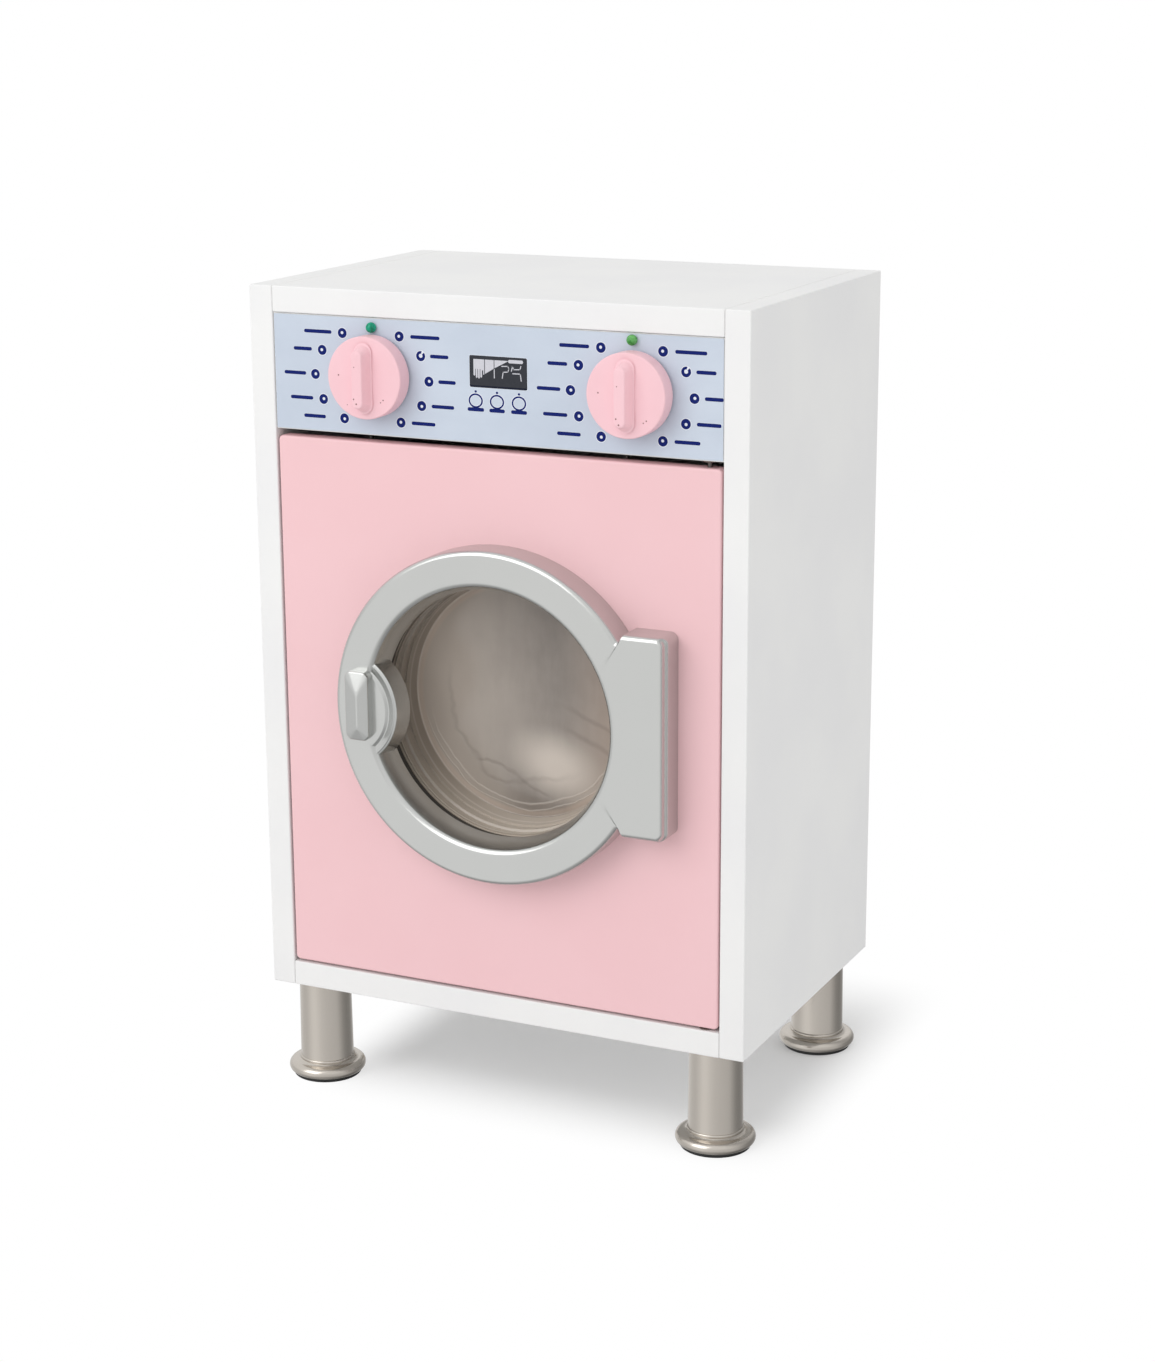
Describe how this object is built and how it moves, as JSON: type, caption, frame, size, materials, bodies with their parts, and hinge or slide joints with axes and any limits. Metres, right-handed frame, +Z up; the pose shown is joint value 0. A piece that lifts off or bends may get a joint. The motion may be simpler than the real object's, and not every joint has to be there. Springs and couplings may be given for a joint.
{
  "type": "toy washing machine",
  "caption": "Free-standing wooden play washing machine on steel legs, with turning dials and a hinged front door with a round window.",
  "frame": {"origin": "on the floor, under the middle of the whole machine, porthole and lug included", "axes": "+Z up, front and door towards -Y, +X towards the door's pivot side"},
  "size_m": [0.35, 0.2684, 0.55],
  "materials": {
    "white_paint": "white satin paint on board",
    "cream_paint": "cream paint on board",
    "pink_paint": "pale pink satin paint on wood",
    "bare_wood": "bare softwood",
    "hardboard": "white-faced hardboard",
    "blue_print": "pale blue printed film, satin",
    "silver_plastic": "silver-grey moulded plastic, satin gloss",
    "smoky_plastic": "clear smoky thin plastic, glossy",
    "green_gloss": "dark green gloss bead",
    "cream_plastic": "cream moulded nylon",
    "black_plastic": "black matt plastic",
    "steel": "brushed nickel-plated steel"
  },
  "bodies": {
    "cabinet": {"side_board_left": "white_paint", "side_board_right": "white_paint", "top_board": "white_paint", "bottom_board": "white_paint", "back_panel": "hardboard", "control_board": "cream_paint", "control_label": "blue_print", "control_batten_left": "bare_wood", "control_batten_right": "bare_wood", "indicator_bead_left": "green_gloss", "indicator_bead_right": "green_gloss", "click_spring_left": "steel", "click_spring_right": "steel", "pivot_bush_upper": "black_plastic", "pivot_bush_lower": "black_plastic", "catch_housing": "cream_plastic", "catch_magnet": "black_plastic", "catch_screw_upper": "steel", "catch_screw_lower": "steel", "leg_tube_front_left": "steel", "leg_tube_front_right": "steel", "leg_tube_rear_left": "steel", "leg_tube_rear_right": "steel", "leg_stud_front_left": "steel", "leg_stud_front_right": "steel", "leg_stud_rear_left": "steel", "leg_stud_rear_right": "steel", "leg_foot_front_left": "steel", "leg_foot_front_right": "steel", "leg_foot_rear_left": "steel", "leg_foot_rear_right": "steel", "leg_pad_front_left": "black_plastic", "leg_pad_front_right": "black_plastic", "leg_pad_rear_left": "black_plastic", "leg_pad_rear_right": "black_plastic"},
    "dial_left": {"knob_left": "pink_paint", "spindle_left": "steel", "click_wheel_left": "cream_plastic", "spindle_washer_left": "steel", "spindle_nut_left": "steel"},
    "dial_right": {"knob_right": "pink_paint", "spindle_right": "steel", "click_wheel_right": "cream_plastic", "spindle_washer_right": "steel", "spindle_nut_right": "steel"},
    "door": {"door_panel": "pink_paint", "porthole_shell": "silver_plastic", "window_bowl": "smoky_plastic", "porthole_screw_1": "steel", "porthole_screw_2": "steel", "porthole_screw_3": "steel", "porthole_screw_4": "steel", "pivot_pin_upper": "steel", "pivot_pin_lower": "steel", "strike_plate": "steel", "strike_screw_upper": "steel", "strike_screw_lower": "steel"}
  },
  "joints": [
    {"name": "door_hinge", "type": "hinge", "parent": "cabinet", "child": "door", "pos_m": [0.1467, -0.0967, 0.27], "axis": [0, 0, 1], "range_deg": [0, 110]},
    {"name": "dial_left_turn", "type": "hinge", "parent": "cabinet", "child": "dial_left", "pos_m": [-0.0835, -0.103, 0.496], "axis": [0, 1, 0], "continuous": true},
    {"name": "dial_right_turn", "type": "hinge", "parent": "cabinet", "child": "dial_right", "pos_m": [0.0987, -0.103, 0.496], "axis": [0, 1, 0], "continuous": true}
  ]
}
